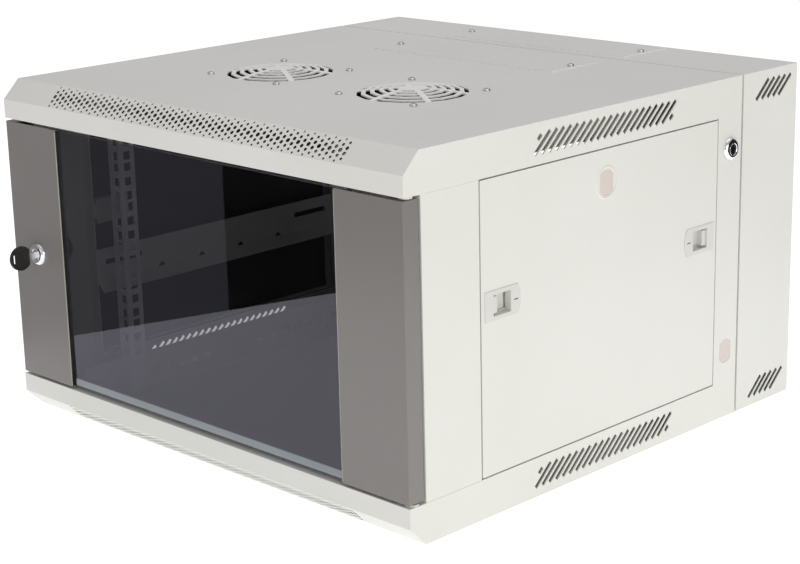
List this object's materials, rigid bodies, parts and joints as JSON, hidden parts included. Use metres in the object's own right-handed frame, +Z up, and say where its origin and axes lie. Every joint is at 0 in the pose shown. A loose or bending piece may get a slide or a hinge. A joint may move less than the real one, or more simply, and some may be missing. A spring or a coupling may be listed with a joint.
{
  "type": "wall mount network cabinet",
  "caption": "Swing-out wall cabinet for 19-inch network equipment, with a smoked glass door, side panels on slide latches and a fan grille roof.",
  "frame": {"origin": "middle of the wall plane's lower edge: the cabinet's rear face, at the height of its underside", "axes": "+X to the right seen from the front, +Y towards the wall, +Z up"},
  "size_m": [0.6143, 0.6367, 0.3731],
  "materials": {
    "cabinet_steel": "fine texture powder coat",
    "inner_steel": "satin powder coat",
    "rail_steel": "satin powder coat",
    "door_steel": "satin powder coat",
    "smoked_glass": "tinted toughened glass",
    "tape_rubber": "matt",
    "lock_chrome": "bright plated",
    "zinc_steel": "zinc plated",
    "black_plastic": "matt",
    "latch_plastic": "satin",
    "plug_plastic": "satin"
  },
  "bodies": {
    "wall_section": {"wall_roof": "cabinet_steel", "wall_floor": "cabinet_steel", "wall_side_left": "cabinet_steel", "wall_side_right": "cabinet_steel", "wall_back_plate": "cabinet_steel", "wall_cable_covers": "cabinet_steel", "wall_sheet_screws": "zinc_steel", "section_buffers": "tape_rubber", "section_hinge_leaves_wall": "zinc_steel"},
    "main_section": {"roof_panel": "cabinet_steel", "floor_panel": "cabinet_steel", "front_upright_left": "cabinet_steel", "front_upright_right": "cabinet_steel", "rear_upright_left": "cabinet_steel", "rear_upright_right": "cabinet_steel", "side_brace_left": "inner_steel", "side_brace_right": "inner_steel", "depth_rails": "inner_steel", "rack_rail_front_left": "rail_steel", "rack_rail_front_right": "rail_steel", "rack_rail_rear_left": "rail_steel", "rack_rail_rear_right": "rail_steel", "rail_bolts": "zinc_steel", "main_cable_covers": "cabinet_steel", "main_sheet_screws": "zinc_steel", "fan_frame_left": "black_plastic", "fan_frame_right": "black_plastic", "section_lock_housing": "lock_chrome", "section_lock_nut": "zinc_steel", "upright_hole_plug": "plug_plastic", "section_hinge_leaves_main": "zinc_steel", "door_hinge_bushes": "plug_plastic"},
    "fan_rotor_left": {"fan_rotor_left": "black_plastic"},
    "fan_rotor_right": {"fan_rotor_right": "black_plastic"},
    "section_lock": {"section_lock_plug": "lock_chrome", "section_lock_cam": "zinc_steel"},
    "side_panel_left": {"side_panel_left": "cabinet_steel", "latch_housings_left": "latch_plastic", "panel_hole_plug_left": "plug_plastic"},
    "side_panel_right": {"side_panel_right": "cabinet_steel", "latch_housings_right": "latch_plastic", "panel_hole_plug_right": "plug_plastic"},
    "latch_slider_front_left": {"latch_slider_front_left": "latch_plastic"},
    "latch_slider_rear_left": {"latch_slider_rear_left": "latch_plastic"},
    "latch_slider_front_right": {"latch_slider_front_right": "latch_plastic"},
    "latch_slider_rear_right": {"latch_slider_rear_right": "latch_plastic"},
    "door": {"door_stile_left": "door_steel", "door_stile_right": "door_steel", "door_glass": "smoked_glass", "glass_tapes": "tape_rubber", "door_lock_housing": "lock_chrome", "door_lock_nut": "zinc_steel", "door_hinge_pin_lower": "zinc_steel"},
    "door_hinge_pin_upper": {"door_hinge_pin_upper": "zinc_steel"},
    "door_lock": {"door_lock_plug": "lock_chrome", "door_lock_cam": "zinc_steel"},
    "key": {"key_blade": "zinc_steel", "key_bow": "black_plastic"}
  },
  "joints": [
    {"name": "section_swing", "type": "hinge", "parent": "wall_section", "child": "main_section", "pos_m": [-0.305, -0.0985, 0], "axis": [0, 0, -1], "range_deg": [0, 90]},
    {"name": "door_swing", "type": "hinge", "parent": "main_section", "child": "door", "pos_m": [0.2935, -0.5905, 0], "axis": [0, 0, 1], "range_deg": [0, 180]},
    {"name": "door_hinge_pin_slide", "type": "slide", "parent": "door", "child": "door_hinge_pin_upper", "axis": [0, 0, -1], "range_m": [0, 0.008], "stiffness_N_per_m": 300, "springref_m": -0.006},
    {"name": "door_lock_turn", "type": "hinge", "parent": "door", "child": "door_lock", "pos_m": [-0.2555, -0.6, 0.184], "axis": [0, 1, 0], "range_deg": [0, 90]},
    {"name": "key_slide", "type": "slide", "parent": "door_lock", "child": "key", "axis": [0, -1, 0], "range_m": [0, 0.025]},
    {"name": "section_lock_turn", "type": "hinge", "parent": "main_section", "child": "section_lock", "pos_m": [0.3, -0.12, 0.2935], "axis": [1, 0, 0], "range_deg": [0, 90]},
    {"name": "fan_spin_left", "type": "hinge", "parent": "main_section", "child": "fan_rotor_left", "pos_m": [-0.0995, -0.382, 0.35], "axis": [0, 0, 1], "continuous": true},
    {"name": "side_panel_left_lift_off", "type": "slide", "parent": "main_section", "child": "side_panel_left", "axis": [-1, 0, 0], "range_m": [0, 0.08]},
    {"name": "latch_slider_front_left_slide", "type": "slide", "parent": "side_panel_left", "child": "latch_slider_front_left", "axis": [0, 1, 0], "range_m": [0, 0.0047], "stiffness_N_per_m": 400, "springref_m": -0.003},
    {"name": "latch_slider_rear_left_slide", "type": "slide", "parent": "side_panel_left", "child": "latch_slider_rear_left", "axis": [0, -1, 0], "range_m": [0, 0.0047], "stiffness_N_per_m": 400, "springref_m": -0.003},
    {"name": "fan_spin_right", "type": "hinge", "parent": "main_section", "child": "fan_rotor_right", "pos_m": [0.0995, -0.382, 0.35], "axis": [0, 0, 1], "continuous": true},
    {"name": "side_panel_right_lift_off", "type": "slide", "parent": "main_section", "child": "side_panel_right", "axis": [1, 0, 0], "range_m": [0, 0.08]},
    {"name": "latch_slider_front_right_slide", "type": "slide", "parent": "side_panel_right", "child": "latch_slider_front_right", "axis": [0, 1, 0], "range_m": [0, 0.0047], "stiffness_N_per_m": 400, "springref_m": -0.003},
    {"name": "latch_slider_rear_right_slide", "type": "slide", "parent": "side_panel_right", "child": "latch_slider_rear_right", "axis": [0, -1, 0], "range_m": [0, 0.0047], "stiffness_N_per_m": 400, "springref_m": -0.003}
  ]
}
